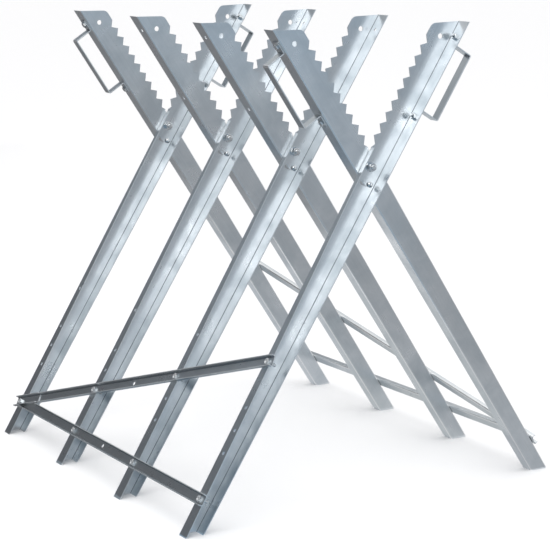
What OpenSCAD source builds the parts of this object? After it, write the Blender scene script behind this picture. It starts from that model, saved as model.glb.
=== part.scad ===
// Log sawhorse of eight bent and galvanised sheet legs in four crossed pairs.
// The legs whose feet stand at -X are the front frame, the others the rear frame.
// Both frames turn on the four pivot bolts, and four stop pins in curved slots limit them.
// Pairs are numbered 1 to 4 from +Y to -Y. Sizes are in millimetres.

/* [Stance] */
// Angle between each leg and the floor when the sawhorse stands open
leg_angle = 57.5; // [55:0.5:60]
// Height of the pivot line above the floor
pivot_height = 569; // [540:1:600]
// Distance from one pair of legs to the next
frame_pitch = 253; // [220:1:290]
// Angle through which the two frames close from the open stance
fold_travel = 34; // [24:1:36]

/* [Leg sheet] */
// Thickness of the leg sheet
leg_t = 1.5; // [1.2:0.1:2]
// Outside radius of the leg bends
leg_bend_r = 2.4; // [2.2:0.1:3.5]
// Distance from the pivot to the back of the leg
back_reach = 25.5; // [24:0.5:28]
// Width of the web at the pivot
pivot_web_w = 40.4; // [38:0.2:44]
// Width of the web at the foot
foot_web_w = 28.5; // [26:0.5:32]
// Depth of the back flange at the foot
back_flange_foot = 24.5; // [20:0.5:28]
// Depth of the back flange at the top
back_flange_top = 31; // [26:0.5:34]
// Depth of the front flange at the foot
front_flange_foot = 26.5; // [22:0.5:30]
// Depth of the front flange beside the pivot
front_flange_top = 11; // [9:0.5:13]
// Distance below the pivot at which the front flange starts to deepen
front_flange_turn = 70; // [40:1:110]
// Gap between the two webs that lie back to back
web_gap = 0.4; // [0.2:0.1:1]

/* [Log teeth] */
// Distance from one tooth tip to the next
tooth_pitch = 21.2; // [19:0.2:22]
// Depth of a tooth from tip to root
tooth_depth = 9.8; // [7:0.2:12]
// Length of a tooth's upper flank along the leg
tooth_lead = 9.6; // [7:0.2:12]
// Distance of the tooth tips from the pivot, square to the leg
tip_reach = 20.8; // [19:0.2:24]
// Distance of the lowest tooth tip from the pivot, along the leg
first_tip = 48.2; // [44:0.2:54]

/* [Leg top] */
// Distance from the pivot to the top of the back flange, along the leg
top_reach = 290; // [284:1:310]
// Angle of the top cut, from square across the leg
top_cut_angle = 33.8; // [30:0.2:37]
// Length of the ear from the last tooth root to the top of the back flange
ear_len = 62.6; // [58:0.2:70]
// Distance of the ear's side from the pivot, square to the leg
ear_reach = 19.8; // [18:0.2:23]
// Radius of the ear's corner
ear_r = 12.5; // [8:0.5:14]
// Diameter of the hole in the ear
ear_hole_d = 9; // [6:0.5:12]
// Distance of the ear hole from the top of the back flange, along the leg
ear_hole_down = 40.6; // [36:0.2:46]
// Distance of the ear hole from the back of the leg
ear_hole_in = 20.4; // [17:0.2:24]

/* [Pivot and stop] */
// Diameter of the pivot bolts
pivot_d = 8; // [6:0.5:9]
// Radial clearance of the webs on the pivot bolts
pivot_fit = 0.05; // [0.02:0.01:0.1]
// Diameter of the pivot washers
pivot_washer_d = 17; // [14:0.5:19]
// Thickness of the pivot washers
pivot_washer_t = 1.6; // [1:0.1:2]
// Distance from the pivot to the stop pin
stop_radius = 30; // [27:0.5:33]
// Diameter of the stop pin
stop_pin_d = 6; // [4:0.5:7]
// Diameter of the stop pin's heads
stop_head_d = 10; // [8:0.5:11]
// Clearance of the stop pin on each side in its curved slot
slot_fit = 0.3; // [0.1:0.05:0.5]
// Running gap under washers and heads that turn on a web
face_gap = 0.15; // [0.05:0.05:0.3]

/* [Crossbars] */
// Thickness of the crossbar sheet
bar_t = 1.5; // [1.2:0.1:2]
// Width of a crossbar
bar_w = 20; // [17:0.5:24]
// Depth of a crossbar over its lips
bar_lip = 8; // [5:0.5:10]
// Outside radius of the crossbar bends
bar_bend_r = 3.5; // [2.5:0.1:4.5]
// Length of a crossbar past its end bolts
bar_end = 15; // [12:0.5:18]
// Distance from the foot of a leg up to its lowest crossbar hole
low_hole_up = 65; // [50:1:80]
// Distance between neighbouring crossbar holes up the leg
bar_hole_pitch = 41; // [34:1:46]
// Distance of the crossbar holes from the web
bar_hole_in = 12.8; // [11.5:0.1:13]
// Diameter of the hole halfway along each crossbar
bar_mid_hole_d = 7; // [5:0.5:9]
// Length of the step where the diagonal crossbar leaves the level one
bar_step_len = 3; // [2:0.5:6]

/* [Handles] */
// Width of the handle strip
handle_w = 18; // [14:0.5:20]
// Thickness of the handle strip
handle_t = 2; // [1.5:0.1:3]
// Height of the handle over the flange
handle_rise = 37; // [30:1:45]
// Length of the grip between the outsides of the handle's arms
handle_len = 125; // [110:1:140]
// Distance from the upper arm to the top of the back flange
handle_down = 44; // [40:1:50]
// Outside radius of the handle's bends
handle_bend_r = 3; // [2.5:0.1:5]
// Distance from each arm to the bolt beside it
handle_bolt_out = 13; // [12:0.5:16]
// Distance of the handle bolts from the web
handle_hole_in = 15.3; // [14:0.1:17]

/* [Small bolts] */
// Diameter of the crossbar and handle bolts
bolt_d = 6; // [5:0.5:7]
// Length of the crossbar bolts under their heads
bar_bolt_len = 16; // [14:1:18]
// Width across flats of their heads and nuts
bolt_af = 10; // [9:0.5:11]
// Radial clearance of the bolt holes
bolt_fit = 0.25; // [0.1:0.05:0.5]

/* [Hidden] */
$fn = 48;

steel = [0.70, 0.74, 0.77];
dark_steel = [0.45, 0.48, 0.51];
bright_zinc = [0.84, 0.86, 0.87];

frame_count = 4;
cut = 60;
eps = 0.5;

// Distances along a leg are measured from the pivot, positive upwards.
// Distances across it are positive towards the teeth.
leg_below = pivot_height / sin(leg_angle);
front_reach = pivot_web_w - back_reach;
taper = atan((pivot_web_w - foot_web_w) / leg_below);
leg_low = -leg_below - 2 * back_reach;
web_z = web_gap / 2;
half_web = foot_web_w - leg_bend_r;
ear_root = top_reach - ear_len;
// As many teeth as there is room for below the ear.
tooth_count = 1 + floor((ear_root - tooth_lead - first_tip) / tooth_pitch + 0.01);
front_flange_end = first_tip - (tooth_pitch - tooth_lead) - tooth_depth / 1.2;

// The five crossbar holes of a leg, counted in hole pitches above the lowest one.
bar_hole_steps = [0, 2, 3, 4, 6];
// Hole pitches that the diagonal bar climbs from one pair to the next.
climb_count = 2;
last_step = (frame_count - 1) * climb_count;
diagonal_rise = last_step * bar_hole_pitch;
level_len = (frame_count - 1) * frame_pitch;
diagonal_angle = atan(diagonal_rise / level_len);
diagonal_len = norm([diagonal_rise, level_len]);
overlap_len = bar_w / 2 * (1 + 1 / cos(diagonal_angle)) / tan(diagonal_angle);
lower_overlap_len = (bar_w / 2 * (1 / cos(diagonal_angle) - 1) + bar_t) / tan(diagonal_angle);
notch_gap = 2;

bolt_head_h = 0.65 * bolt_d;
bolt_nut_h = 0.85 * bolt_d;
bolt_tail = 3;
pivot_af = 1.625 * pivot_d;
pivot_head_h = 0.65 * pivot_d;
pivot_nut_h = pivot_d;
pivot_tail = 2.5;
stop_head_h = 2.4;

slot_r = stop_pin_d / 2 + slot_fit;
stop_rest_gap = 0.05;
slot_slack = asin((slot_fit - stop_rest_gap) / stop_radius);
// Direction of the stop pin from the pivot, straight down when the legs stand open.
stop_dir = 180 + (90 - leg_angle);

handle_end = top_reach - handle_down;
handle_start = handle_end - handle_len;
tab_end = handle_bolt_out + bolt_af * 0.85;
corner_r = 3;

function frame_y(i) = frame_pitch * ((frame_count + 1) / 2 - i);
function hole_a(step) = -leg_below + low_hole_up + step * bar_hole_pitch;
function tip_s(k) = first_tip + k * tooth_pitch;
function tooth(k) = [
    [tip_s(k) - (tooth_pitch - tooth_lead), tip_reach - tooth_depth],
    [tip_s(k), tip_reach]
];
function arc(c, r, a0, a1, n) = [
    for (k = [0:n])
        let (a = a0 + (a1 - a0) * k / n)
        c + r * [cos(a), sin(a)]
];
function top_s(n) = top_reach - (n + back_reach) * tan(top_cut_angle);

// Placing

module place_front(i) {
    translate([0, frame_y(i), pivot_height])
    rotate([0, -leg_angle, 0])
    rotate([90, 0, 0])
    children();
}

module place_rear(i) {
    turned()
    place_front(frame_count + 1 - i)
    children();
}

// The rear frame is the front frame turned half round.
module turned() {
    rotate([0, 0, 180]) children();
}

// The outer face of the front flanges: X up the legs, Y outwards, Z across the frames.
module on_front_flanges() {
    translate([0, 0, pivot_height])
    rotate([0, -leg_angle, 0])
    rotate([90, 0, 0])
    translate([0, front_reach, 0])
    rotate([0, 0, taper])
    children();
}

module at_bar_hole(i, step) {
    translate([hole_a(step), 0, -frame_y(i) + web_z + bar_hole_in])
    rotate([-90, 0, 0])
    children();
}

module at_handle_bolts() {
    for (s = [handle_start - handle_bolt_out, handle_end + handle_bolt_out])
        translate([s, -back_reach, web_z + handle_hole_in])
        rotate([90, 0, 0])
        children();
}

// Sheet sections

// An angle section with its bend at the origin and its legs along X and Y.
module angle_section(along, up, t, r) {
    translate([r, 0]) square([along - r, t]);
    translate([0, r]) square([t, up - r]);
    translate([r, r])
    intersection() {
        difference() {
            circle(r);
            circle(r - t);
        }
        translate([-r, -r]) square(r);
    }
}

module channel_section(w, h, t, r) {
    for (m = [0, 1])
        mirror([m, 0])
        translate([-w / 2, 0])
        angle_section(w / 2 + eps, h, t, r);
}

module extrude_along_x(x0, x1) {
    translate([x0, 0, 0])
    rotate([90, 0, 90])
    linear_extrude(x1 - x0)
    children();
}

// Legs

module back_angle() {
    difference() {
        translate([0, -back_reach, web_z])
        extrude_along_x(leg_low, top_reach + eps)
        angle_section(half_web, back_flange_top + cut / 2, leg_t, leg_bend_r);
        rotate([90, 0, 0])
        translate([0, 0, -cut])
        linear_extrude(2 * cut)
        polygon([[-leg_below, web_z + back_flange_foot], [top_reach, web_z + back_flange_top],
            [top_reach + cut, web_z + back_flange_top], [top_reach + cut, 2 * cut],
            [leg_low - cut, 2 * cut], [leg_low - cut, web_z + back_flange_foot]]);
    }
}

module front_angle() {
    translate([0, front_reach, 0])
    rotate([0, 0, taper])
    difference() {
        translate([0, 0, web_z])
        extrude_along_x(leg_low, front_flange_end)
        mirror([1, 0])
        angle_section(half_web, front_flange_foot + cut / 2, leg_t, leg_bend_r);
        rotate([90, 0, 0])
        translate([0, 0, -cut])
        linear_extrude(2 * cut)
        polygon([[leg_low - cut, web_z + front_flange_foot], [-leg_below, web_z + front_flange_foot],
            [-front_flange_turn, web_z + front_flange_top], [2 * cut, web_z + front_flange_top],
            [2 * cut, 2 * cut], [leg_low - cut, 2 * cut]]);
    }
}

module toothed_plate() {
    last_root = tip_s(tooth_count - 1) + tooth_lead;
    ear_riser = (tooth_pitch - tooth_lead) * (ear_reach - tip_reach + tooth_depth) / tooth_depth;
    turn = 90 - top_cut_angle;
    corner_s = top_s(ear_reach) - ear_r * tan(turn / 2);
    inner = -back_reach + leg_bend_r + eps;
    translate([0, 0, web_z])
    linear_extrude(leg_t)
    polygon(concat(
        [[front_flange_end - eps, inner],
            [front_flange_end - eps, front_reach + front_flange_end * tan(taper) - leg_t / 2],
            [front_flange_end, front_reach + front_flange_end * tan(taper)]],
        [for (k = [0:tooth_count - 1]) each tooth(k)],
        last_root < ear_root - 0.1 ? [[last_root, tip_reach - tooth_depth]] : [],
        [[ear_root, tip_reach - tooth_depth], [ear_root + ear_riser, ear_reach]],
        arc([corner_s, ear_reach - ear_r], ear_r, 90, 90 - turn, 8),
        [[top_s(inner), inner]]
    ));
}

module floor_cut() {
    translate([-leg_below, 0, 0])
    rotate([0, 0, 90 - leg_angle])
    translate([-2 * cut, -2 * cut, -cut])
    cube([2 * cut, 4 * cut, 3 * cut]);
}

module top_cut() {
    translate([top_reach, -back_reach, 0])
    rotate([0, 0, top_cut_angle])
    translate([0, -cut, -cut])
    cube([2 * cut, 3 * cut, 3 * cut]);
}

module leg_holes() {
    translate([top_reach - ear_hole_down, -back_reach + ear_hole_in, -cut])
    cylinder(d = ear_hole_d, h = 2 * cut);
    translate([0, 0, -cut])
    cylinder(r = pivot_d / 2 + pivot_fit, h = 2 * cut);
    at_handle_bolts()
    translate([0, 0, -2 * leg_t])
    cylinder(r = bolt_d / 2 + bolt_fit, h = 4 * leg_t);
    translate([0, front_reach, 0])
    rotate([0, 0, taper])
    for (step = bar_hole_steps)
        translate([hole_a(step), 0, web_z + bar_hole_in])
        rotate([-90, 0, 0])
        translate([0, 0, -2 * leg_t])
        cylinder(r = bolt_d / 2 + bolt_fit, h = 4 * leg_t);
}

module leg_blank() {
    difference() {
        union() {
            back_angle();
            front_angle();
            toothed_plate();
        }
        floor_cut();
        top_cut();
        leg_holes();
    }
}

// The curved slot runs from the open stop towards the front flange. Its curved stretch
// ends just short of the middles of its round ends, so that their walls cross cleanly.
module stop_slot() {
    a0 = stop_dir - slot_slack;
    a1 = stop_dir - fold_travel + slot_slack;
    short = asin(slot_r / 8 / stop_radius);
    translate([0, 0, -cut]) {
        rotate([0, 0, a1 + short])
        rotate_extrude(angle = a0 - a1 - 2 * short)
        translate([stop_radius - slot_r, 0])
        square([2 * slot_r, 2 * cut]);
        for (a = [a0, a1])
            rotate([0, 0, a])
            translate([stop_radius, 0, 0])
            cylinder(r = slot_r, h = 2 * cut);
    }
}

module stop_hole() {
    rotate([0, 0, stop_dir])
    translate([stop_radius, 0, -cut])
    cylinder(d = stop_pin_d, h = 2 * cut);
}

module front_leg(i) {
    color(steel)
    place_front(i)
    difference() {
        leg_blank();
        stop_slot();
    }
}

module rear_leg(i) {
    color(steel)
    place_rear(i)
    difference() {
        leg_blank();
        stop_hole();
    }
}

// Crossbars

module bar_blank(x0, x1) {
    extrude_along_x(x0, x1)
    channel_section(bar_w, bar_lip, bar_t, bar_bend_r);
}

module bar_hole(x, d) {
    translate([x, 0, -cut])
    cylinder(d = d, h = 2 * cut);
}

// The lips at the end under the diagonal bar are cut away, so that it lies flat on this one.
module level_bar() {
    difference() {
        bar_blank(-bar_end, level_len + bar_end);
        for (i = [0:frame_count - 1])
            bar_hole(i * frame_pitch, bolt_d + 2 * bolt_fit);
        bar_hole(level_len / 2, bar_mid_hole_d);
        translate([-bar_end - eps, -cut, bar_t])
        cube([bar_end + eps + lower_overlap_len + notch_gap, cut, cut]);
        translate([-bar_end - eps, -eps, bar_t])
        cube([bar_end + eps + overlap_len + notch_gap, cut, cut]);
    }
}

// The end that lies on the level bar is stepped out by one sheet thickness.
module diagonal_bar() {
    step_start = overlap_len + notch_gap;
    difference() {
        union() {
            translate([0, 0, bar_t])
            bar_blank(-bar_end, step_start + bar_step_len);
            bar_blank(step_start, diagonal_len + bar_end);
        }
        for (i = [0:frame_count - 1])
            bar_hole(i * diagonal_len / (frame_count - 1), bolt_d + 2 * bolt_fit);
        bar_hole(diagonal_len / 2, bar_mid_hole_d);
    }
}

module front_level_bar() {
    color(dark_steel)
    on_front_flanges()
    at_bar_hole(1, 0)
    rotate([0, 0, -90])
    level_bar();
}

module front_diagonal_bar() {
    color(dark_steel)
    on_front_flanges()
    at_bar_hole(1, 0)
    rotate([0, 0, -90 + diagonal_angle])
    diagonal_bar();
}

// Handles

module handle_half_section() {
    t = handle_t;
    r = handle_bend_r;
    translate([-tab_end, 0]) square([tab_end + t - r, t]);
    translate([t - r, r])
    intersection() {
        difference() {
            circle(r);
            circle(r - t);
        }
        translate([0, -r]) square(r);
    }
    translate([0, r]) square([t, handle_rise - 2 * r]);
    translate([r, handle_rise - r])
    intersection() {
        difference() {
            circle(r);
            circle(r - t);
        }
        translate([-r, 0]) square(r);
    }
    translate([r, handle_rise - t]) square([handle_len / 2 - r + eps / 2, t]);
}

module tab_corner() {
    translate([-tab_end, -handle_w / 2, -eps])
    difference() {
        translate([-eps, -eps, 0]) cube([corner_r + eps, corner_r + eps, handle_t + 2 * eps]);
        translate([corner_r, corner_r, -eps]) cylinder(r = corner_r, h = handle_t + 4 * eps);
    }
}

module handle_half() {
    difference() {
        translate([0, handle_w / 2, 0])
        rotate([90, 0, 0])
        linear_extrude(handle_w)
        handle_half_section();
        translate([-handle_bolt_out, 0, -eps])
        cylinder(r = bolt_d / 2 + bolt_fit, h = handle_t + 2 * eps);
        tab_corner();
        mirror([0, 1, 0]) tab_corner();
    }
}

module handle() {
    color(steel)
    translate([handle_start, -back_reach, web_z + handle_hole_in])
    rotate([90, 0, 0]) {
        handle_half();
        translate([handle_len, 0, 0])
        mirror([1, 0, 0])
        handle_half();
    }
}

// Fasteners

// A hexagon with its upper corners turned off at thirty degrees.
module hexagon(af, h) {
    across_corners = af / cos(30);
    intersection() {
        cylinder(d = across_corners, h = h, $fn = 6);
        union() {
            cylinder(d = across_corners + eps, h = h - (across_corners - af) / 2 * tan(30));
            translate([0, 0, h - (across_corners - af) / 2 * tan(30)])
            cylinder(d1 = across_corners, d2 = af, h = (across_corners - af) / 2 * tan(30));
        }
    }
}

// A hexagon bolt whose head stands up from Z = 0 and whose shank points down.
module bolt(d, af, head_h, len) {
    union() {
        hexagon(af, head_h);
        translate([0, 0, -len + d / 10]) cylinder(d = d, h = len);
        translate([0, 0, -len]) cylinder(d1 = 0.8 * d, d2 = d, h = d / 10);
    }
}

// A nut whose seat is at Z = 0 and which hangs down from it.
module nut(d, af, h) {
    difference() {
        mirror([0, 0, 1]) hexagon(af, h);
        translate([0, 0, -h - eps]) cylinder(d = d, h = h + 2 * eps);
    }
}

// Every crossbar bolt of one frame: pair, hole step and sheets between head and flange.
function bar_bolt_list() = concat(
    [[1, 0, 2]],
    [for (i = [2:frame_count]) [i, 0, 1]],
    [for (i = [2:frame_count]) [i, climb_count * (i - 1), 1]]
);

module bar_bolts() {
    color(bright_zinc)
    on_front_flanges()
    for (b = bar_bolt_list())
        at_bar_hole(b[0], b[1])
        translate([0, 0, b[2] * bar_t])
        bolt(bolt_d, bolt_af, bolt_head_h, bar_bolt_len);
}

module bar_nuts() {
    color(bright_zinc)
    on_front_flanges()
    for (b = bar_bolt_list())
        at_bar_hole(b[0], b[1])
        translate([0, 0, -leg_t])
        nut(bolt_d, bolt_af, bolt_nut_h);
}

module handle_bolts() {
    color(bright_zinc)
    for (i = [1, frame_count])
        place_front(i)
        at_handle_bolts()
        translate([0, 0, handle_t])
        bolt(bolt_d, bolt_af, bolt_head_h, handle_t + leg_t + bolt_nut_h + bolt_tail);
}

module handle_nuts() {
    color(bright_zinc)
    for (i = [1, frame_count])
        place_front(i)
        at_handle_bolts()
        translate([0, 0, -leg_t])
        nut(bolt_d, bolt_af, bolt_nut_h);
}

pivot_back = -web_z - leg_t - face_gap;
pivot_front = web_z + leg_t;

module pivot_washers(z) {
    color(bright_zinc)
    for (i = [1:frame_count])
        place_front(i)
        translate([0, 0, z])
        difference() {
            cylinder(d = pivot_washer_d, h = pivot_washer_t);
            translate([0, 0, -eps]) cylinder(r = pivot_d / 2 + bolt_fit, h = pivot_washer_t + 2 * eps);
        }
}

module pivot_bolts() {
    grip = pivot_front - pivot_back + 2 * pivot_washer_t;
    color(bright_zinc)
    for (i = [1:frame_count])
        place_front(i)
        translate([0, 0, pivot_back - pivot_washer_t])
        mirror([0, 0, 1])
        bolt(pivot_d, pivot_af, pivot_head_h, grip + pivot_nut_h + pivot_tail);
}

module pivot_nuts() {
    color(bright_zinc)
    for (i = [1:frame_count])
        place_front(i)
        translate([0, 0, pivot_front + pivot_washer_t])
        mirror([0, 0, 1])
        nut(pivot_d, pivot_af, pivot_nut_h);
}

// A low round rivet head that stands up from Z = 0.
module rivet_head() {
    ball_r = ((stop_head_d / 2) * (stop_head_d / 2) + stop_head_h * stop_head_h) / (2 * stop_head_h);
    intersection() {
        cylinder(d = stop_head_d, h = stop_head_h);
        translate([0, 0, stop_head_h - ball_r]) sphere(r = ball_r);
    }
}

// The pin is riveted into the rear web and its other head runs over the slot in the front web.
module stop_pins() {
    color(bright_zinc)
    for (i = [1:frame_count])
        place_front(i)
        rotate([0, 0, stop_dir])
        translate([stop_radius, 0, 0])
        stop_pin();
}

module stop_pin() {
    union() {
        translate([0, 0, -web_z - leg_t])
        cylinder(d = stop_pin_d, h = 2 * (web_z + leg_t) + face_gap);
        translate([0, 0, web_z + leg_t + face_gap]) rivet_head();
        translate([0, 0, -web_z - leg_t]) mirror([0, 0, 1]) rivet_head();
    }
}

front_leg(1);  // front_leg_1
front_leg(2);  // front_leg_2
front_leg(3);  // front_leg_3
front_leg(4);  // front_leg_4
rear_leg(1);  // rear_leg_1
rear_leg(2);  // rear_leg_2
rear_leg(3);  // rear_leg_3
rear_leg(4);  // rear_leg_4
front_level_bar();  // front_bar_level
front_diagonal_bar();  // front_bar_diagonal
turned() front_level_bar();  // rear_bar_level
turned() front_diagonal_bar();  // rear_bar_diagonal
place_front(1) handle();  // front_handle_1
place_front(4) handle();  // front_handle_4
place_rear(1) handle();  // rear_handle_1
place_rear(4) handle();  // rear_handle_4
pivot_bolts();
pivot_washers(pivot_front);  // pivot_washers_front
pivot_washers(pivot_back - pivot_washer_t);  // pivot_washers_back
pivot_nuts();
stop_pins();
bar_bolts();  // front_bar_bolts
bar_nuts();  // front_bar_nuts
turned() bar_bolts();  // rear_bar_bolts
turned() bar_nuts();  // rear_bar_nuts
handle_bolts();  // front_handle_bolts
handle_nuts();  // front_handle_nuts
turned() handle_bolts();  // rear_handle_bolts
turned() handle_nuts();  // rear_handle_nuts
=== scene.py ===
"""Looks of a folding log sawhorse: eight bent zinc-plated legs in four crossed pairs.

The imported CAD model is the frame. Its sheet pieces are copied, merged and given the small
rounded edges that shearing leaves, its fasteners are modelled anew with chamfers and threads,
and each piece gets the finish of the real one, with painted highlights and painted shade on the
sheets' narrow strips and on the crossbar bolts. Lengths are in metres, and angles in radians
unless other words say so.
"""

import logging
import math
import random
from collections.abc import Callable
from dataclasses import dataclass
from enum import Enum, IntEnum

import bpy
from mathutils import Matrix, Vector


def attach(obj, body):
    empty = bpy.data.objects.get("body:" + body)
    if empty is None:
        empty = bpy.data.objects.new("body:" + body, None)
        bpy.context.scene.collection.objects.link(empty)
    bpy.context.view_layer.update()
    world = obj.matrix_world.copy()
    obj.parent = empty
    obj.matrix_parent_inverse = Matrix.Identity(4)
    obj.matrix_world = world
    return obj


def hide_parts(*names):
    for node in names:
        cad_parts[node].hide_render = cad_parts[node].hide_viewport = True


Pair = tuple[float, float]
Triple = tuple[float, float, float]

MM = 0.001
# The slope of a leg from the floor, and of its tapering front flange against the leg.
LEG_ANGLE = math.radians(57.5)
FLANGE_TAPER = math.radians(1.0105)
# Sides of a turned part, the slope of its chamfer, and how far a cutting tool reaches past it.
ROUND_SIDES = 64
CHAMFER_SLOPE = math.radians(30)
REACH_PAST = 1 * MM
# The chamfer at the rim of a shank, a washer or a cutting tool.
RIM_CHAMFER = 0.2 * MM
# Points nearer than this are one point in a CAD fastener, in a thread and on a cutting plane.
SEAT_WELD = 0.005 * MM
THREAD_MERGE = 0.002 * MM
PLANE_MERGE = 0.0001 * MM
# Faces of a fastener that meet at less than this angle are shaded as one.
FASTENER_SMOOTH = math.radians(25)
# A face looks up where the height of its normal is more than this.
LOOKS_UP = 0.9

log = logging.getLogger("sawhorse")


# Helpers


def linear(hex_colour: str) -> tuple[float, float, float, float]:
    """Turn an sRGB hex value into a linear colour.

    Args:
        hex_colour: Six hex digits after a hash sign.

    Returns:
        Red, green, blue and an alpha of 1.
    """
    channels = [int(hex_colour[i:i + 2], 16) / 255 for i in (1, 3, 5)]
    red, green, blue = (
        c / 12.92 if c <= 0.04045 else ((c + 0.055) / 1.055) ** 2.4 for c in channels
    )
    return red, green, blue, 1.0


def new_material(name: str) -> tuple[bpy.types.Material, bpy.types.NodeTree]:
    """Make a material whose node tree is empty.

    Args:
        name: The material's name.

    Returns:
        The material and its tree.
    """
    material = bpy.data.materials.new(name)
    material.use_nodes = True
    material.node_tree.nodes.clear()
    return material, material.node_tree


def mapped(source: Pair, target: Pair) -> dict[str, float]:
    """Name the values that turn one range into another.

    Args:
        source: Both ends of the range that comes in.
        target: Both ends of the range that goes out.

    Returns:
        The values, by the names of their sockets.
    """
    return dict(zip(("From Min", "From Max", "To Min", "To Max"), (*source, *target)))


def add_node(
    tree: bpy.types.NodeTree,
    kind: str,
    settings: dict[str, object] | None = None,
    values: dict[str | int, object] | None = None,
    links: dict[str | int, bpy.types.NodeSocket] | None = None,
) -> bpy.types.Node:
    """Add a node to a tree.

    Args:
        tree: The tree that gets the node.
        kind: The node's type name.
        settings: Properties of the node.
        values: Values of its inputs, by name or number.
        links: Outputs that feed its inputs, by name or number.

    Returns:
        The new node.
    """
    node = tree.nodes.new(kind)
    for key, value in (settings or {}).items():
        setattr(node, key, value)
    for key, value in (values or {}).items():
        node.inputs[key].default_value = value
    for key, socket in (links or {}).items():
        tree.links.new(socket, node.inputs[key])
    return node


def select_only(obj: bpy.types.Object) -> None:
    """Deselect everything, then select one object and make it active."""
    bpy.ops.object.select_all(action="DESELECT")
    obj.select_set(True)
    bpy.context.view_layer.objects.active = obj


def apply_modifier(obj: bpy.types.Object, kind: str, **settings: object) -> None:
    """Add one modifier to an object and apply it.

    Args:
        obj: The mesh object.
        kind: The modifier's type.
        settings: Properties of the modifier.
    """
    modifier = obj.modifiers.new(kind.title(), kind)
    for key, value in settings.items():
        setattr(modifier, key, value)
    select_only(obj)
    bpy.ops.object.modifier_apply(modifier=modifier.name)


def edit_all(obj: bpy.types.Object) -> None:
    """Open an object in edit mode with all of it selected."""
    select_only(obj)
    bpy.ops.object.mode_set(mode="EDIT")
    bpy.ops.mesh.select_all(action="SELECT")


def leave_edit() -> None:
    """Go back to object mode."""
    bpy.ops.object.mode_set(mode="OBJECT")


def pick(obj: bpy.types.Object, kind: str, chosen: Callable[[object], bool]) -> None:
    """Open an object in edit mode with some of its elements selected.

    Args:
        obj: The mesh object.
        kind: VERT, EDGE or FACE.
        chosen: Says whether an element is selected.
    """
    edit_all(obj)
    bpy.ops.mesh.select_mode(type=kind)
    bpy.ops.mesh.select_all(action="DESELECT")
    leave_edit()
    mesh = obj.data
    elements = {"VERT": mesh.vertices, "EDGE": mesh.edges, "FACE": mesh.polygons}[kind]
    for element in elements:
        element.select = chosen(element)
    bpy.ops.object.mode_set(mode="EDIT")


def settle(obj: bpy.types.Object) -> None:
    """Put an object's place into its mesh."""
    select_only(obj)
    bpy.ops.object.transform_apply(location=True, rotation=True, scale=True)


# Finishes


class Grain(Enum):
    """The direction in which a sheet was rolled, as its turn about Y and then about Z."""

    FRONT_LEG = (LEG_ANGLE, 0.0)
    REAR_LEG = (math.pi - LEG_ANGLE, 0.0)
    LEVEL = (0.0, math.pi / 2)


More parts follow.
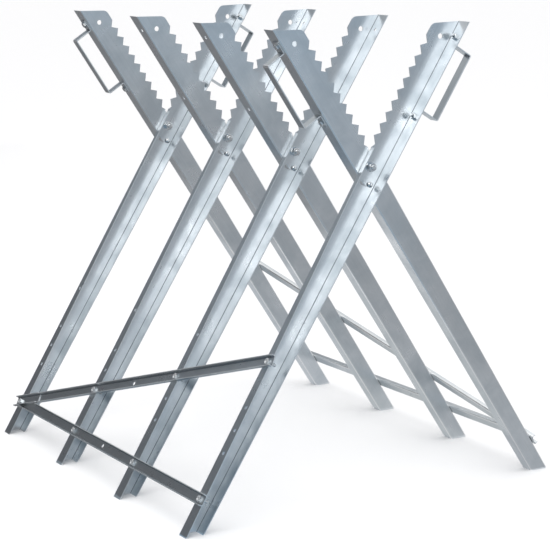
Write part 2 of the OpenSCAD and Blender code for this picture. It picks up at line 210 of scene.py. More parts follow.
@dataclass(frozen=True)
class ZincSheet:
    """Cold-rolled steel sheet, pressed to shape and then bright zinc plated.

    To the eye it is a soft, bluish mirror. The plating follows the rolled surface, so faint
    streaks run along the sheet. The bath leaves clouds a few centimetres across, the pressed
    walls are a little wavy, and handling leaves scratches. Real streaks, grit and scratches are
    a tenth of a millimetre wide or less, too fine to show, and are drawn as coarse as they need
    to be to show.
    """

    name: str
    colour: str
    cloud_colour: str
    grain: Grain
    roughness: float = 0.28
    # Each "from" pair is the part of a noise, which runs from 0 to 1, that makes the mark.
    cloud_size: float = 45 * MM
    cloud_from: Pair = (0.32, 0.68)
    cloud_dulling_from: Pair = (0.3, 0.7)
    cloud_dulling: Pair = (-0.03, 0.035)
    streak_width: float = 1.6 * MM
    streak_length: float = 90 * MM
    streak_from: Pair = (0.25, 0.75)
    streak_light: Pair = (0.97, 1.03)
    streak_dulling: float = 0.03
    streak_strength: float = 0.04
    grit: float = 0.7 * MM
    grit_strength: float = 0.05
    relief: float = 0.02 * MM
    scratch_width: float = 0.6 * MM
    scratch_length: float = 60 * MM
    scratch_slant: float = math.radians(9)
    scratch_from: Pair = (0.66, 0.8)
    scratch_dulling: float = 0.05
    wave_length: float = 35 * MM
    wave_height: float = 0.5 * MM

    def make(self) -> bpy.types.Material:
        """Build the material."""
        material, tree = new_material(self.name)
        place = add_node(tree, "ShaderNodeTexCoord")
        turn_y, turn_z = self.grain.value
        along = add_node(
            tree, "ShaderNodeMapping",
            values={"Rotation": (0.0, turn_y, turn_z)},
            links={"Vector": place.outputs["Object"]},
        )
        stretched = add_node(
            tree, "ShaderNodeMapping",
            values={"Scale": (self.streak_width / self.streak_length, 1.0, 1.0)},
            links={"Vector": along.outputs["Vector"]},
        )
        streaks = add_node(
            tree, "ShaderNodeTexNoise",
            values={"Scale": 1 / self.streak_width, "Detail": 1.0, "Roughness": 0.6},
            links={"Vector": stretched.outputs["Vector"]},
        )
        clouds = add_node(
            tree, "ShaderNodeTexNoise",
            values={"Scale": 1 / self.cloud_size, "Detail": 4.0, "Roughness": 0.55,
                    "Distortion": 0.4},
            links={"Vector": along.outputs["Vector"]},
        )
        grit = add_node(
            tree, "ShaderNodeTexNoise",
            values={"Scale": 1 / self.grit, "Detail": 2.0},
            links={"Vector": place.outputs["Object"]},
        )
        waves = add_node(
            tree, "ShaderNodeTexNoise",
            values={"Scale": 1 / self.wave_length, "Detail": 1.0},
            links={"Vector": along.outputs["Vector"]},
        )
        slanted = add_node(
            tree, "ShaderNodeMapping",
            values={"Rotation": (0.0, self.scratch_slant, 0.0),
                    "Scale": (self.scratch_width / self.scratch_length, 1.0, 1.0)},
            links={"Vector": along.outputs["Vector"]},
        )
        scratches = add_node(
            tree, "ShaderNodeTexNoise",
            values={"Scale": 1 / self.scratch_width, "Detail": 1.0},
            links={"Vector": slanted.outputs["Vector"]},
        )
        scratch_rough = add_node(
            tree, "ShaderNodeMapRange",
            values=mapped(self.scratch_from, (0.0, self.scratch_dulling)),
            links={"Value": scratches.outputs["Fac"]},
        )
        cloud_share = add_node(
            tree, "ShaderNodeMapRange", values=mapped(self.cloud_from, (0.0, 1.0)),
            links={"Value": clouds.outputs["Fac"]},
        )
        tone = add_node(
            tree, "ShaderNodeMix", {"data_type": "RGBA"},
            values={"A": linear(self.colour), "B": linear(self.cloud_colour)},
            links={"Factor": cloud_share.outputs["Result"]},
        )
        streak_light = add_node(
            tree, "ShaderNodeMapRange", values=mapped(self.streak_from, self.streak_light),
            links={"Value": streaks.outputs["Fac"]},
        )
        colour = add_node(
            tree, "ShaderNodeVectorMath", {"operation": "SCALE"},
            links={0: tone.outputs["Result"], "Scale": streak_light.outputs["Result"]},
        )
        smoothest, roughest = (self.roughness + change for change in self.cloud_dulling)
        cloud_rough = add_node(
            tree, "ShaderNodeMapRange",
            values=mapped(self.cloud_dulling_from, (smoothest, roughest)),
            links={"Value": clouds.outputs["Fac"]},
        )
        sheet_rough = add_node(
            tree, "ShaderNodeMath", {"operation": "MULTIPLY_ADD"},
            values={1: self.streak_dulling},
            links={0: streaks.outputs["Fac"], 2: cloud_rough.outputs["Result"]},
        )
        rough = add_node(
            tree, "ShaderNodeMath", {"operation": "ADD"},
            links={0: sheet_rough.outputs["Value"], 1: scratch_rough.outputs["Result"]},
        )
        streak_bump = add_node(
            tree, "ShaderNodeBump",
            values={"Strength": self.streak_strength, "Distance": self.relief},
            links={"Height": streaks.outputs["Fac"]},
        )
        grit_bump = add_node(
            tree, "ShaderNodeBump",
            values={"Strength": self.grit_strength, "Distance": self.relief},
            links={"Height": grit.outputs["Fac"], "Normal": streak_bump.outputs["Normal"]},
        )
        wave_bump = add_node(
            tree, "ShaderNodeBump",
            values={"Strength": 1.0, "Distance": self.wave_height},
            links={"Height": waves.outputs["Fac"], "Normal": grit_bump.outputs["Normal"]},
        )
        shader = add_node(
            tree, "ShaderNodeBsdfPrincipled",
            values={"Metallic": 1.0},
            links={"Base Color": colour.outputs["Vector"], "Roughness": rough.outputs["Value"],
                   "Normal": wave_bump.outputs["Normal"]},
        )
        add_node(
            tree, "ShaderNodeOutputMaterial", links={"Surface": shader.outputs["BSDF"]}
        )
        return material


@dataclass(frozen=True)
class StripZinc:
    """Zinc plating on the narrow strips of a sheet piece, along its cut edges and its folds, in
    colours that carry painted highlights and painted shade.

    The strips have no streaks of rolling. Their grain is drawn coarser than real, so as to show.
    """

    name: str
    colour: str
    shade_colour: str
    roughness: float
    mottle: float = 6 * MM
    grain: float = 0.4 * MM
    grain_strength: float = 0.1
    relief: float = 0.03 * MM

    def make(self) -> bpy.types.Material:
        """Build the material."""
        material, tree = new_material(self.name)
        place = add_node(tree, "ShaderNodeTexCoord")
        mottle = add_node(
            tree, "ShaderNodeTexNoise",
            values={"Scale": 1 / self.mottle, "Detail": 3.0},
            links={"Vector": place.outputs["Object"]},
        )
        grain = add_node(
            tree, "ShaderNodeTexNoise",
            values={"Scale": 1 / self.grain, "Detail": 2.0},
            links={"Vector": place.outputs["Object"]},
        )
        tone = add_node(
            tree, "ShaderNodeMix", {"data_type": "RGBA"},
            values={"A": linear(self.colour), "B": linear(self.shade_colour)},
            links={"Factor": mottle.outputs["Fac"]},
        )
        bump = add_node(
            tree, "ShaderNodeBump",
            values={"Strength": self.grain_strength, "Distance": self.relief},
            links={"Height": grain.outputs["Fac"]},
        )
        shader = add_node(
            tree, "ShaderNodeBsdfPrincipled",
            values={"Metallic": 1.0, "Roughness": self.roughness},
            links={"Base Color": tone.outputs["Result"], "Normal": bump.outputs["Normal"]},
        )
        add_node(
            tree, "ShaderNodeOutputMaterial", links={"Surface": shader.outputs["BSDF"]}
        )
        return material


@dataclass(frozen=True)
class BrightFastener:
    """Cold-headed steel, barrel plated with bright zinc: smooth, with duller spots.

    Tumbling in the barrel rubs the spots. A clear film keeps the plating bright, and a whitish
    one takes some of its mirror away.
    """

    name: str
    colour: str
    shade_colour: str
    roughness: float = 0.15
    metallic: float = 1.0
    mottle: float = 2.5 * MM
    mottle_from: Pair = (0.3, 0.7)
    mottle_dulling: Pair = (-0.06, 0.08)
    mottle_strength: float = 0.15
    # The height of the bumps at a strength of 1.
    relief: float = 0.05 * MM

    def make(self) -> bpy.types.Material:
        """Build the material."""
        material, tree = new_material(self.name)
        place = add_node(tree, "ShaderNodeTexCoord")
        mottle = add_node(
            tree, "ShaderNodeTexNoise",
            values={"Scale": 1 / self.mottle, "Detail": 3.0},
            links={"Vector": place.outputs["Object"]},
        )
        tone = add_node(
            tree, "ShaderNodeMix", {"data_type": "RGBA"},
            values={"A": linear(self.colour), "B": linear(self.shade_colour)},
            links={"Factor": mottle.outputs["Fac"]},
        )
        smoothest, roughest = (self.roughness + change for change in self.mottle_dulling)
        rough = add_node(
            tree, "ShaderNodeMapRange",
            values=mapped(self.mottle_from, (smoothest, roughest)),
            links={"Value": mottle.outputs["Fac"]},
        )
        bump = add_node(
            tree, "ShaderNodeBump",
            values={"Strength": self.mottle_strength, "Distance": self.relief},
            links={"Height": mottle.outputs["Fac"]},
        )
        shader = add_node(
            tree, "ShaderNodeBsdfPrincipled",
            values={"Metallic": self.metallic},
            links={"Base Color": tone.outputs["Result"], "Roughness": rough.outputs["Result"],
                   "Normal": bump.outputs["Normal"]},
        )
        add_node(
            tree, "ShaderNodeOutputMaterial", links={"Surface": shader.outputs["BSDF"]}
        )
        return material


# Sheet pieces


class Part(IntEnum):
    """The parts of a sheet piece, by the number of their finish on it."""

    WALL = 0
    CUT_EDGE = 1
    HOLLOW = 2
    CROWN = 3


@dataclass
class SheetPieces:
    """Pieces pressed from sheet: the CAD shape with the rounded edges of real shearing."""

    names: tuple[str, ...]
    body: str
    slot: str
    finishes: tuple[bpy.types.Material, ...]
    edge: float = 0.25 * MM
    # The mesh: points that become one, slivers that go, and faces that count as flat.
    weld: float = 0.05 * MM
    sliver: float = 0.02 * MM
    bevel_sliver: float = 0.001 * MM
    flat: float = math.radians(0.4)
    smooth: float = math.radians(35)
    sharp: float = math.radians(50)
    # A cut edge is narrower than this, and joins two walls of at least this area. The cosines
    # say that it is about square to them and that they face apart.
    thickest: float = 2.1 * MM
    smallest_wall: float = 300 * MM * MM
    square: float = 0.2
    apart: float = -0.9
    # A bend's strip is at most this wide and at least this long. Its neighbours along its long
    # sides, which are at least this share of the longest, rise or fall from it by this much.
    widest_strip: float = 1.0 * MM
    shortest_strip: float = 4.0 * MM
    long_side: float = 0.4
    least_rise: float = 0.002 * MM

    def build(self) -> list[bpy.types.Object]:
        """Build and dress every piece.

        Returns:
            The new objects.
        """
        made = []
        for name in self.names:
            piece = copy_of_node(name, f"{name}_sheet")
            for finish in self.finishes:
                piece.data.materials.append(finish)
            self.soften(piece)
            self.mark(piece, self.bend_strips(piece, 1), Part.HOLLOW)
            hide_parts(name)
            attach(piece, self.body)
            made.append(piece)
            log.info("%s: %d faces", piece.name, len(piece.data.polygons))
        return made

    def mark(self, piece: bpy.types.Object, faces: list[int], part: Part) -> None:
        """Give some faces of a piece the finish of one of its parts.

        Args:
            piece: The piece.
            faces: The numbers of its faces.
            part: The part that they belong to.
        """
        for face in faces:
            piece.data.polygons[face].material_index = part

    def soften(self, piece: bpy.types.Object) -> None:
        """Weld a piece's triangles into flat faces, mark its cuts and crowns, round its edges.

        Args:
            piece: A copy of a CAD node.
        """
        edit_all(piece)
        bpy.ops.mesh.remove_doubles(threshold=self.weld)
        bpy.ops.mesh.dissolve_degenerate(threshold=self.sliver)
        bpy.ops.mesh.select_all(action="SELECT")
        bpy.ops.mesh.dissolve_limited(angle_limit=self.flat)
        leave_edit()
        self.mark(piece, self.sheared_edges(piece), Part.CUT_EDGE)
        self.mark(piece, self.bend_strips(piece, -1), Part.CROWN)
        apply_modifier(
            piece, "BEVEL", width=self.edge, segments=2, limit_method="ANGLE",
            angle_limit=self.sharp, use_clamp_overlap=True, miter_outer="MITER_ARC",
        )
        edit_all(piece)
        bpy.ops.mesh.dissolve_degenerate(threshold=self.bevel_sliver)
        leave_edit()
        select_only(piece)
        bpy.ops.object.shade_smooth_by_angle(angle=self.smooth)
        apply_modifier(piece, "WEIGHTED_NORMAL", keep_sharp=True)

    def sheared_edges(self, piece: bpy.types.Object) -> list[int]:
        """Find the faces where the shears or a punch cut through the sheet.

        Args:
            piece: A piece whose faces are flat and not yet rounded.

        Returns:
            The numbers of the narrow faces between the two sides of a wall.
        """
        faces_at = faces_by_edge(piece.data)
        found = []
        for face in piece.data.polygons:
            rim = sum(edge_length(piece.data, key) for key in face.edge_keys)
            walls = [
                other.normal for key in face.edge_keys for other in faces_at[key]
                if other.area > self.smallest_wall
                and abs(other.normal.dot(face.normal)) < self.square
            ]
            two_sides = any(one.dot(other) < self.apart for one in walls for other in walls)
            if two_sides and 2 * face.area < rim * self.thickest:
                found.append(face.index)
        return found

    def bend_strips(self, piece: bpy.types.Object, side: int) -> list[int]:
        """Find the narrow strips that make up one side of each bend.

        Args:
            piece: A piece whose flat faces are whole.
            side: 1 for the hollow side, -1 for the crown.

        Returns:
            The numbers of their faces.
        """
        faces_at = faces_by_edge(piece.data)
        found = []
        for face in piece.data.polygons:
            lengths = {key: edge_length(piece.data, key) for key in face.edge_keys}
            longest = max(lengths.values())
            if face.area > longest * self.widest_strip or longest < self.shortest_strip:
                continue
            rises = [
                (other.center - face.center).dot(face.normal)
                for key, length in lengths.items() if length > self.long_side * longest
                for other in faces_at[key] if other.index != face.index
            ]
            if rises and min(side * rise for rise in rises) > self.least_rise:
                found.append(face.index)
        return found


def edge_length(mesh: bpy.types.Mesh, key: tuple[int, int]) -> float:
    """Measure the edge between two vertices of a mesh."""
    return (mesh.vertices[key[0]].co - mesh.vertices[key[1]].co).length


def faces_by_edge(mesh: bpy.types.Mesh) -> dict[tuple[int, int], list[bpy.types.MeshPolygon]]:
    """List the faces that meet at each edge.

    Args:
        mesh: The mesh.

    Returns:
        The faces, by the numbers of the edge's two vertices.
    """
    faces_at: dict[tuple[int, int], list[bpy.types.MeshPolygon]] = {}
    for face in mesh.polygons:
        for key in face.edge_keys:
            faces_at.setdefault(key, []).append(face)
    return faces_at


def copy_of_node(node: str, name: str) -> bpy.types.Object:
    """Copy a CAD node as a free object with its own mesh.

    Args:
        node: The CAD node's name.
        name: The copy's name.

    Returns:
        The copy, with no parent and no material.
    """
    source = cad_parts[node]
    piece = bpy.data.objects.new(name, source.data.copy())
    piece.data.name = name
    piece.data.materials.clear()
    bpy.context.scene.collection.objects.link(piece)
    return piece


# Fasteners


@dataclass(frozen=True)
class Seat:
    """Where one CAD fastener sits: a point on its axis at its lowest end, and its length."""

    foot: Vector
    axis: Vector
    length: float


def seats_of(node: str, axis: Vector) -> list[Seat]:
    """Find every solid of a fastener node along one axis.

    Args:
        node: The CAD node's name.
        axis: The unit direction that all its solids share.

    Returns:
        One seat for each solid, in the order of their places.
    """
    whole = copy_of_node(node, "seat_finder")
    edit_all(whole)
    bpy.ops.mesh.remove_doubles(threshold=SEAT_WELD)
    bpy.ops.mesh.separate(type="LOOSE")
    leave_edit()
    solids = [o for o in bpy.context.selected_objects if o.type == "MESH"]
    seats = []
    for solid in solids:
        area = sum(p.area for p in solid.data.polygons)
        centre = sum((p.center * p.area for p in solid.data.polygons), Vector()) / area
        heights = [(v.co - centre).dot(axis) for v in solid.data.vertices]
        seats.append(Seat(centre + axis * min(heights), axis, max(heights) - min(heights)))
        bpy.data.objects.remove(solid)
    # Places are compared to a tenth of a millimetre.
    return sorted(seats, key=lambda s: (round(s.foot.y, 4), round(s.foot.z, 4)))


@dataclass
class Fasteners:
    """Shared making of the fasteners of one CAD node."""

    node: str
    body: str
    axis: Vector
    finish: bpy.types.Material
    slot: str = "fastener_zinc"

    def make_one(self, length: float) -> bpy.types.Object:
        """Model one fastener that stands on the origin along +Z.

        Args:
            length: Its whole length.

        Returns:
            The new object.
        """
        raise NotImplementedError

    def build(self) -> bpy.types.Object:
        """Model the fasteners, put one on each seat and join them into one piece.

        Returns:
            The new object.
        """
        turn = random.Random(self.node)
        made: dict[float, bpy.types.Object] = {}
        copies = []
        for seat in seats_of(self.node, self.axis):
            # Rounded to a hundredth of a millimetre, so that one model serves all alike.
            length = round(seat.length, 5)
            if length not in made:
                made[length] = self.make_one(length)
            one = made[length].copy()
            one.data = made[length].data.copy()
            bpy.context.scene.collection.objects.link(one)
            one.matrix_world = (
                Matrix.Translation(seat.foot)
                @ seat.axis.to_track_quat("Z", "Y").to_matrix().to_4x4()
                @ Matrix.Rotation(turn.uniform(0, math.pi / 3), 4, "Z")
            )
            copies.append(one)
        for template in made.values():
            bpy.data.objects.remove(template)
        bpy.context.view_layer.update()
        select_only(copies[0])
        for one in copies:
            one.select_set(True)
        bpy.ops.object.join()
        piece = bpy.context.view_layer.objects.active
        piece.name = f"{self.node}_plated"
        settle(piece)
        piece.data.materials.clear()
        piece.data.materials.append(self.finish)
        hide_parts(self.node)
        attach(piece, self.body)
        log.info("%s: %d pieces, %d faces", piece.name, len(copies), len(piece.data.polygons))
        return piece

    def cut_bore(self, blank: bpy.types.Object, radius: float, length: float) -> None:
        """Drill a blank through along its axis.

        Args:
            blank: The blank, which stands on the origin.
            radius: The bore's radius.
            length: The blank's height.
        """
        drill = turned_blank(radius, -REACH_PAST, length + REACH_PAST, RIM_CHAMFER)
        cut_with(blank, drill, "DIFFERENCE")


def turned_blank(radius: float, low: float, high: float, chamfer: float) -> bpy.types.Object:
    """Turn a round bar with a chamfer at its upper end.

    Args:
        radius: The bar's radius.
        low: Height of its lower end.
        high: Height of its upper end.
        chamfer: Width of the chamfer.

    Returns:
        The new object.
    """
    bpy.ops.object.select_all(action="DESELECT")
    bpy.ops.mesh.primitive_cylinder_add(
        vertices=ROUND_SIDES, radius=radius, depth=high - low,
        location=(0, 0, (high + low) / 2),
    )
    blank = bpy.context.active_object
    settle(blank)
    pick(blank, "FACE", lambda face: face.normal.z > LOOKS_UP)
    bpy.ops.mesh.extrude_region_move(TRANSFORM_OT_translate={"value": (0, 0, 0)})
    inner = (radius - chamfer) / radius
    bpy.ops.transform.resize(value=(inner, inner, 1), center_override=(0, 0, high))
    leave_edit()
    outer = [v for v in blank.data.vertices
             if v.co.z > high - PLANE_MERGE and math.hypot(v.co.x, v.co.y) > radius - chamfer / 2]
    for vertex in outer:
        vertex.co.z = high - chamfer * math.tan(CHAMFER_SLOPE)
    return blank


def across_corners(flats: float) -> float:
    """Give a hexagon's radius at its corners for its width across flats."""
    return flats / 2 / math.cos(math.pi / 6)


def hex_prism(flats: float, low: float, high: float) -> bpy.types.Object:
    """Make a plain hexagonal bar.

    Args:
        flats: Width across flats.
        low: Height of its lower end.
        high: Height of its upper end.

    Returns:
        The new object.
    """
    bpy.ops.object.select_all(action="DESELECT")
    bpy.ops.mesh.primitive_cylinder_add(
        vertices=6, radius=across_corners(flats), depth=high - low,
        location=(0, 0, (high + low) / 2),
    )
    bar = bpy.context.active_object
    settle(bar)
    return bar


def cut_with(target: bpy.types.Object, tool: bpy.types.Object, operation: str) -> None:
    """Run a boolean on a target and delete the tool.

    Args:
        target: The object that is changed.
        tool: The object that it is combined with.
        operation: INTERSECT, UNION or DIFFERENCE.
    """
    apply_modifier(target, "BOOLEAN", operation=operation, object=tool, solver="EXACT")
    bpy.data.objects.remove(tool)


@dataclass(frozen=True)
class RolledThread:
    """A rolled thread, whose depth, start and tip are in pitches."""

    diameter: float
    pitch: float
    depth: float = 0.6
    # A little off a whole turn, so that no corner of the thread lies in the plane of an end.
    start: float = -2.013
    # How much narrower than the root of the thread the tip of the rod is.
    tip: float = 0.15
    steps: int = 20
    spare_turns: int = 4
    # One turn from root to root: whether a corner is on the crest, and its share of the pitch.
    profile: tuple[tuple[bool, float], ...] = (
        (False, 0.0), (False, 0.15), (True, 0.45), (True, 0.6), (False, 1.0)
    )

    def rod(self, length: float) -> bpy.types.Object:
        """Model a threaded rod that stands on the origin, with a chamfered lower end.

        Args:
            length: The rod's length.

        Returns:
            The new object.
        """
        crest = self.diameter / 2
        root = crest - self.depth * self.pitch
        bpy.ops.object.select_all(action="DESELECT")
        bpy.ops.mesh.primitive_circle_add(
            vertices=len(self.profile), radius=crest, fill_type="NOTHING"
        )
        rod = bpy.context.active_object
        ring = sorted(rod.data.vertices, key=lambda v: math.atan2(v.co.y, v.co.x))
        for vertex, (on_crest, share) in zip(ring, self.profile):
            vertex.co = (crest if on_crest else root, 0.0, (self.start + share) * self.pitch)
        ends = {ring[0].index, ring[-1].index}
        pick(rod, "EDGE", lambda edge: set(edge.vertices) == ends)
        bpy.ops.mesh.delete(type="EDGE")
        leave_edit()
        apply_modifier(
            rod, "SCREW", axis="Z", screw_offset=self.pitch,
            iterations=math.ceil(length / self.pitch) + self.spare_turns, steps=self.steps,
            render_steps=self.steps, use_merge_vertices=True, merge_threshold=THREAD_MERGE,
        )
        for height, upper in ((0.0, False), (length, True)):
            edit_all(rod)
            bpy.ops.mesh.bisect(
                plane_co=(0, 0, height), plane_no=(0, 0, 1), use_fill=True,
                clear_inner=not upper, clear_outer=upper, threshold=PLANE_MERGE,
            )
            leave_edit()
        for vertex in rod.data.vertices:
            reach = math.hypot(vertex.co.x, vertex.co.y)
            room = root - self.tip * self.pitch + max(vertex.co.z, 0.0)
            if reach > room:
                vertex.co.x *= room / reach
                vertex.co.y *= room / reach
        edit_all(rod)
        bpy.ops.mesh.remove_doubles(threshold=THREAD_MERGE)
        bpy.ops.mesh.normals_make_consistent(inside=False)
        leave_edit()
        return rod


@dataclass
class HexBolts(Fasteners):
    """Cold-headed hexagon bolts with a chamfered, dished head and a rolled thread."""

    diameter: float = 6 * MM
    flats: float = 10 * MM
    pitch: float = 1 * MM
    # The head's height in diameters, and the width of its flat top in widths across flats.
    head_height: float = 0.65
    top_width: float = 0.94
    # How far the shank runs on into the head.
    root_overlap: float = 0.2 * MM
    # The dish's rings: a scale, and a drop in widths across flats.
    dish_rings: tuple[Pair, ...] = ((0.78, 0.0), (0.84, 0.04), (0.4, 0.05))

    def make_one(self, length: float) -> bpy.types.Object:
        """Model one bolt, tip down.

        Args:
            length: Its length over the head.

        Returns:
            The new object.
        """
        seat = length - self.head_height * self.diameter
        corner = across_corners(self.flats)
        chamfer = corner - self.flats / 2 * self.top_width
        head = hex_prism(self.flats, seat, length)
        blank = turned_blank(corner, seat - REACH_PAST, length, chamfer)
        cut_with(head, blank, "INTERSECT")
        self.dish(head, length)
        shank = RolledThread(self.diameter, self.pitch).rod(seat + self.root_overlap)
        select_only(head)
        shank.select_set(True)
        bpy.ops.object.join()
        bpy.ops.object.shade_smooth_by_angle(angle=FASTENER_SMOOTH)
        return head

    def dish(self, head: bpy.types.Object, top: float) -> None:
        """Press the shallow dish into the top of the head.

        Args:
            head: The bolt's head.
            top: Height of its top face.
        """
        pick(head, "FACE",
             lambda face: face.center.z > top - SEAT_WELD and face.normal.z > LOOKS_UP)
        for share, drop in self.dish_rings:
            down = (0, 0, -drop * self.flats)
            bpy.ops.mesh.extrude_region_move(TRANSFORM_OT_translate={"value": down})
            bpy.ops.transform.resize(value=(share, share, 1), center_override=(0, 0, top))
        leave_edit()


@dataclass
class HexNuts(Fasteners):
    """Hexagon nuts with both faces chamfered and a countersunk bore."""

    diameter: float = 6 * MM
    flats: float = 10 * MM
    # The width of a flat face in widths across flats, and of the sink beyond the bore.
    face_width: float = 0.95
    sink_width: float = 0.5 * MM

    def make_one(self, length: float) -> bpy.types.Object:
        """Model one nut.

        Args:
            length: Its height.

        Returns:
            The new object.
        """
        corner = across_corners(self.flats)
        chamfer = corner - self.flats / 2 * self.face_width
        body = hex_prism(self.flats, 0.0, length)
        cut_with(body, turned_blank(corner, -REACH_PAST, length, chamfer), "INTERSECT")
        under = turned_blank(corner, -length - REACH_PAST, 0.0, chamfer)
        for vertex in under.data.vertices:
            vertex.co.z = -vertex.co.z
        edit_all(under)
        bpy.ops.mesh.normals_make_consistent(inside=False)
        leave_edit()
        cut_with(body, under, "INTERSECT")
        self.cut_bore(body, self.diameter / 2, length)
        # The cone's middle, where it is half as wide as its base, lies in the nut's top face.
        base = 2 * (self.diameter / 2 + self.sink_width)
        bpy.ops.object.select_all(action="DESELECT")
        bpy.ops.mesh.primitive_cone_add(
            vertices=ROUND_SIDES, radius1=0.0, radius2=base, depth=base, location=(0, 0, length)
        )
        sink = bpy.context.active_object
        settle(sink)
        cut_with(body, sink, "DIFFERENCE")
        select_only(body)
        bpy.ops.object.shade_smooth_by_angle(angle=FASTENER_SMOOTH)
        return body


@dataclass
class Washers(Fasteners):
    """Blanked washers, rolled over at one rim and sharp at the other."""

    outer: float = 17 * MM
    inner: float = 8.5 * MM
    rolled_rim: float = 0.4 * MM

    def make_one(self, length: float) -> bpy.types.Object:
        """Model one washer.

        Args:
            length: Its thickness.

        Returns:
            The new object.
        """
        ring = turned_blank(self.outer / 2, 0.0, length, self.rolled_rim)
        self.cut_bore(ring, self.inner / 2, length)
        select_only(ring)
        bpy.ops.object.shade_smooth_by_angle(angle=FASTENER_SMOOTH)
        return ring


@dataclass
class StopPins(Fasteners):
    """Steel pins, riveted over into a low dome at both ends."""

    diameter: float = 6 * MM
    head: float = 10 * MM
    head_height: float = 2.4 * MM
    dome_sides: int = 48
    smooth: float = math.radians(30)

    def make_one(self, length: float) -> bpy.types.Object:
        """Model one pin.

        Args:
            length: Its length over both heads.

        Returns:
            The new object.
        """
        pin = turned_blank(self.diameter / 2, self.head_height / 2,
                           length - self.head_height / 2, RIM_CHAMFER)
        ball = (self.head ** 2 / 4 + self.head_height ** 2) / (2 * self.head_height)
        for seat, sign in ((self.head_height, -1), (length - self.head_height, 1)):
            bpy.ops.object.select_all(action="DESELECT")
            middle = seat + sign * (self.head_height - ball)
            bpy.ops.mesh.primitive_uv_sphere_add(
                segments=self.dome_sides, ring_count=self.dome_sides, radius=ball,
                location=(0, 0, middle),
            )
            dome = bpy.context.active_object
            settle(dome)
            edit_all(dome)
            bpy.ops.mesh.bisect(
                plane_co=(0, 0, seat), plane_no=(0, 0, sign), use_fill=True,
                clear_inner=True, threshold=PLANE_MERGE,
            )
            leave_edit()
            cut_with(pin, dome, "UNION")
        select_only(pin)
        bpy.ops.object.shade_smooth_by_angle(angle=self.smooth)
        return pin


# Studio


@dataclass(frozen=True)
class Softbox:
    """One square lamp, its width in metres and its power in watts."""

    name: str
    place: Triple
    width: float
    power: float


@dataclass(frozen=True)
class GreyCard:
    """One grey card, which only reflections see.

    The card bends round the object. Its middle and spread are in degrees about Z, counted from
    +X. Its first edge lies at (distance, height) and its second edge at another such pair.
    """

    name: str
    middle: float
    spread: float
    first: Pair
    second: Pair
    colour: str


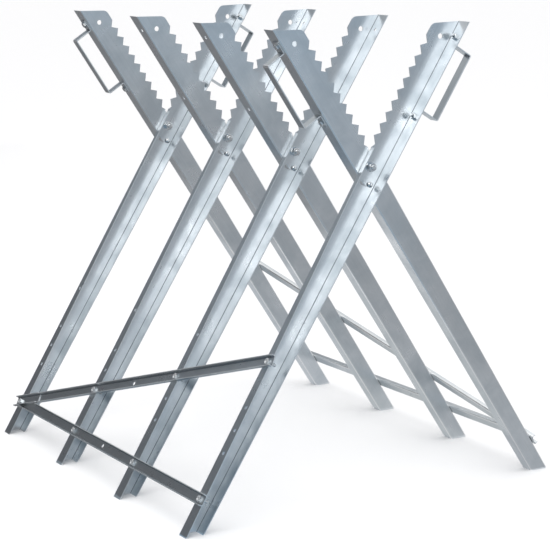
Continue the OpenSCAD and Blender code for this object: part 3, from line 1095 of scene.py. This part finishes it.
@dataclass
class Studio:
    """A pale floor, a white room, soft lamps and the grey cards that give metal its shades."""

    floor_size: float = 60.0
    floor_colour: str = "#FDFDFE"
    floor_roughness: float = 0.8
    room_light: float = 1.0
    aim: Triple = (0.0, 0.0, 0.4)
    card_steps: int = 32
    softboxes: tuple[Softbox, ...] = (
        Softbox("softbox_over", (-1.0, -0.8, 4.6), 3.0, 40.0),
        Softbox("softbox_front_left", (-2.2, -4.0, 3.0), 2.6, 40.0),
    )
    cards: tuple[GreyCard, ...] = (
        GreyCard("card_back_left", 118, 90, (5.0, 0.0), (5.0, 1.7), "#5C5D60"),
        GreyCard("card_back_left_high", 118, 90, (5.0, 1.7), (5.0, 3.8), "#8B9299"),
        GreyCard("card_left", 182, 56, (5.0, 0.0), (5.0, 4.4), "#65696D"),
        GreyCard("card_front_left", -125, 50, (3.0, 0.0), (3.0, 1.21), "#76848F"),
        GreyCard("card_front", -81, 28, (1.25, 0.0), (1.25, 0.7), "#B7C0C9"),
        GreyCard("card_front_right", -33, 68, (1.25, 0.0), (1.25, 0.7), "#A9ABAE"),
        GreyCard("card_front_right_high", -47, 96, (1.25, 0.7), (1.25, 1.45), "#ABBCCB"),
        GreyCard("card_floor_middle", 0, 180, (0.0, 0.003), (0.4, 0.003), "#CDD0D2"),
        GreyCard("card_floor_front_left", -135, 90, (0.4, 0.002), (4.0, 0.002), "#98ADBE"),
        GreyCard("card_floor_back_left", 135, 90, (0.4, 0.002), (4.0, 0.002), "#868688"),
        GreyCard("card_floor_feet_left", -165, 130, (0.15, 0.004), (0.5, 0.004), "#8E979F"),
        GreyCard("card_floor_right", -45, 90, (0.4, 0.002), (4.0, 0.002), "#BEC1C5"),
        GreyCard("card_floor_back_right", 45, 90, (0.4, 0.002), (4.0, 0.002), "#D3D6DA"),
    )

    def build(self) -> None:
        """Build the floor, the room, the lamps and the cards."""
        self.floor()
        self.room()
        for softbox in self.softboxes:
            self.lamp(softbox)
        for card in self.cards:
            self.card(card)
        log.info("studio: %d lamps, %d cards", len(self.softboxes), len(self.cards))

    def floor(self) -> None:
        """Lay a plain pale floor that keeps the object's shadow."""
        bpy.ops.object.select_all(action="DESELECT")
        bpy.ops.mesh.primitive_plane_add(size=self.floor_size)
        floor = bpy.context.active_object
        floor.name = "studio_floor"
        material, tree = new_material("painted_floor")
        paint = add_node(
            tree, "ShaderNodeBsdfPrincipled",
            values={"Base Color": linear(self.floor_colour), "Roughness": self.floor_roughness},
        )
        add_node(tree, "ShaderNodeOutputMaterial", links={"Surface": paint.outputs["BSDF"]})
        floor.data.materials.append(material)

    def room(self) -> None:
        """Make the room white for the camera, for reflections and through clear things."""
        world = bpy.data.worlds.new("studio_room")
        bpy.context.scene.world = world
        world.use_nodes = True
        tree = world.node_tree
        tree.nodes.clear()
        path = add_node(tree, "ShaderNodeLightPath")
        camera_or_gloss = add_node(
            tree, "ShaderNodeMath", {"operation": "MAXIMUM"},
            links={0: path.outputs["Is Camera Ray"], 1: path.outputs["Is Glossy Ray"]},
        )
        seen = add_node(
            tree, "ShaderNodeMath", {"operation": "MAXIMUM"},
            links={0: camera_or_gloss.outputs["Value"],
                   1: path.outputs["Is Transmission Ray"]},
        )
        strength = add_node(
            tree, "ShaderNodeMapRange", values=mapped((0.0, 1.0), (self.room_light, 1.0)),
            links={"Value": seen.outputs["Value"]},
        )
        light = add_node(
            tree, "ShaderNodeBackground",
            values={"Color": linear("#FFFFFF")},
            links={"Strength": strength.outputs["Result"]},
        )
        add_node(tree, "ShaderNodeOutputWorld", links={"Surface": light.outputs["Background"]})

    def lamp(self, softbox: Softbox) -> None:
        """Hang one softbox that looks at the object.

        Args:
            softbox: The lamp.
        """
        data = bpy.data.lights.new(softbox.name, "AREA")
        data.size = softbox.width
        data.energy = softbox.power
        lamp = bpy.data.objects.new(softbox.name, data)
        bpy.context.scene.collection.objects.link(lamp)
        lamp.location = softbox.place
        lamp.rotation_mode = "QUATERNION"
        view = Vector(self.aim) - Vector(softbox.place)
        lamp.rotation_quaternion = view.to_track_quat("-Z", "Y")
        lamp.visible_camera = False

    def card(self, card: GreyCard) -> None:
        """Put up one curved grey card.

        Args:
            card: The card.
        """
        bpy.ops.object.select_all(action="DESELECT")
        bpy.ops.mesh.primitive_grid_add(
            x_subdivisions=self.card_steps, y_subdivisions=1, size=1
        )
        wall = bpy.context.active_object
        wall.name = card.name
        for vertex in wall.data.vertices:
            turn = math.radians(card.middle + card.spread * vertex.co.x)
            edge = Vector(card.first).lerp(Vector(card.second), vertex.co.y + 0.5)
            vertex.co = (edge.x * math.cos(turn), edge.x * math.sin(turn), edge.y)
        material, tree = new_material(f"{card.name}_board")
        board = add_node(
            tree, "ShaderNodeEmission",
            values={"Color": linear(card.colour), "Strength": 1.0},
        )
        add_node(
            tree, "ShaderNodeOutputMaterial", links={"Surface": board.outputs["Emission"]}
        )
        material.cycles.emission_sampling = "NONE"
        wall.data.materials.append(material)
        wall.visible_camera = wall.visible_diffuse = False
        wall.visible_shadow = wall.visible_transmission = False


@dataclass
class PhotoCamera:
    """The camera of the photograph, fitted to the sawhorse's own corners."""

    place: Triple = (-1.73797, -3.20795, 1.00652)
    # The turn is a rotation vector. The focal length and the centre are in the photo's pixels.
    turn: Triple = (1.7066614, -0.4535823, 0.3554058)
    focal_pixels: float = 2030.2
    image_width: float = 550.0
    image_height: float = 540.0
    centre: Pair = (276.01, 270.59)
    sensor_mm: float = 36.0
    farthest: float = 200.0

    def build(self) -> bpy.types.Object:
        """Make the camera and use it for the scene.

        Returns:
            The camera.
        """
        data = bpy.data.cameras.new("photo_camera")
        data.sensor_width = self.sensor_mm
        data.lens = self.sensor_mm * self.focal_pixels / self.image_width
        data.shift_x = (self.image_width / 2 - self.centre[0]) / self.image_width
        data.shift_y = (self.centre[1] - self.image_height / 2) / self.image_width
        data.clip_end = self.farthest
        camera = bpy.data.objects.new("photo_camera", data)
        bpy.context.scene.collection.objects.link(camera)
        axis = Vector(self.turn)
        to_camera = Matrix.Rotation(axis.length, 4, axis.normalized())
        flip = Matrix.Diagonal((1, -1, -1, 1))
        camera.matrix_world = Matrix.Translation(self.place) @ (flip @ to_camera).transposed()
        bpy.context.scene.camera = camera
        return camera


# Making


def main() -> None:
    """Build every sub-assembly in order."""
    logging.basicConfig(level=logging.INFO, format="%(name)s: %(message)s")
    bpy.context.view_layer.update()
    PhotoCamera().build()
    Studio().build()

    # Zinc plated over the raw cut: a satin rim round each sheet, with no mirror. Its pale colour
    # is a painted highlight along the cut edges.
    edges = StripZinc("sheared_edge_zinc_with_painted_highlight", "#EDEFF0", "#DFE3E5", 0.55).make()
    # Painted shade in the hollow of each bend: a dull grey line along the crease.
    hollow_shade = StripZinc("painted_shade_in_bend_hollows", "#9DA3A8", "#8D9399", 0.5).make()
    # Painted highlight on the outside of each bend: a near-white line along the fold.
    crown_highlight = StripZinc("painted_highlight_on_bend_crowns", "#FDFDFD", "#F4F5F5", 0.28).make()
    for side, leg_grain in (("front", Grain.FRONT_LEG), ("rear", Grain.REAR_LEG)):
        # Bright zinc on rolled sheet: the legs are the lightest and the handles the greyest.
        for kind, colour, cloud, grain, names, slot in (
            ("leg", "#DFE3E6", "#CDD3D7", leg_grain,
             tuple(f"{side}_leg_{i}" for i in range(1, 5)), "leg_sheet"),
            ("crossbar", "#DADDDF", "#CDD2D5", Grain.LEVEL,
             (f"{side}_bar_level", f"{side}_bar_diagonal"), "crossbar_sheet"),
            ("handle", "#CDD2D5", "#C1C7CB", leg_grain,
             (f"{side}_handle_1", f"{side}_handle_4"), "handle_strip"),
        ):
            walls = ZincSheet(f"bright_zinc_{kind}_steel_{side}", colour, cloud, grain).make()
            SheetPieces(names, f"{side}_frame", slot, (walls, edges, hollow_shade, crown_highlight)).build()

    # Bright zinc with a clear film: small, sharp mirrors.
    plated = BrightFastener("barrel_plated_zinc_fasteners", "#ECEEEF", "#C3C7CA").make()
    # Zinc with a whitish film, on the crossbar bolts. Its lighter colour and weaker mirror are
    # also a painted highlight, so that the heads stay light in the shade.
    filmed_and_highlighted = BrightFastener("zinc_with_whitish_film_and_painted_highlight", "#F0F2F3", "#D6DADD",
                            metallic=0.72).make()
    across = Vector((0.0, 1.0, 0.0))
    HexBolts("pivot_bolts", "front_frame", across, plated,
             diameter=8 * MM, flats=13 * MM, pitch=1.25 * MM).build()
    HexNuts("pivot_nuts", "front_frame", -across, plated,
            diameter=8 * MM, flats=13 * MM).build()
    Washers("pivot_washers_front", "front_frame", -across, plated).build()
    Washers("pivot_washers_back", "front_frame", across, plated).build()
    StopPins("stop_pins", "rear_frame", across, plated).build()
    for side, sign in (("front", 1), ("rear", -1)):
        # The crossbars lie on the tapering flange, and the handles on the straight one.
        lean = LEG_ANGLE + FLANGE_TAPER
        outwards = Vector((-sign * math.sin(lean), 0.0, math.cos(lean)))
        HexBolts(f"{side}_bar_bolts", f"{side}_frame", outwards, filmed_and_highlighted).build()
        HexNuts(f"{side}_bar_nuts", f"{side}_frame", -outwards, plated).build()
        backwards = Vector((sign * math.sin(LEG_ANGLE), 0.0, -math.cos(LEG_ANGLE)))
        HexBolts(f"{side}_handle_bolts", f"{side}_frame", backwards, plated).build()
        HexNuts(f"{side}_handle_nuts", f"{side}_frame", -backwards, plated).build()

    bpy.context.scene.view_settings.view_transform = "Standard"


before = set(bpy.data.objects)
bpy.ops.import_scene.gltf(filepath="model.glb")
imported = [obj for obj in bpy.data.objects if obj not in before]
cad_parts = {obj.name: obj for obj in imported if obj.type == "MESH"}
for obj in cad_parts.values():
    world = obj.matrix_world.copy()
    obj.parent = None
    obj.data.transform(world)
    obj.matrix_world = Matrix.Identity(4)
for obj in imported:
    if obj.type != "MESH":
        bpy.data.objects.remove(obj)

if __name__ == "__main__":
    main()
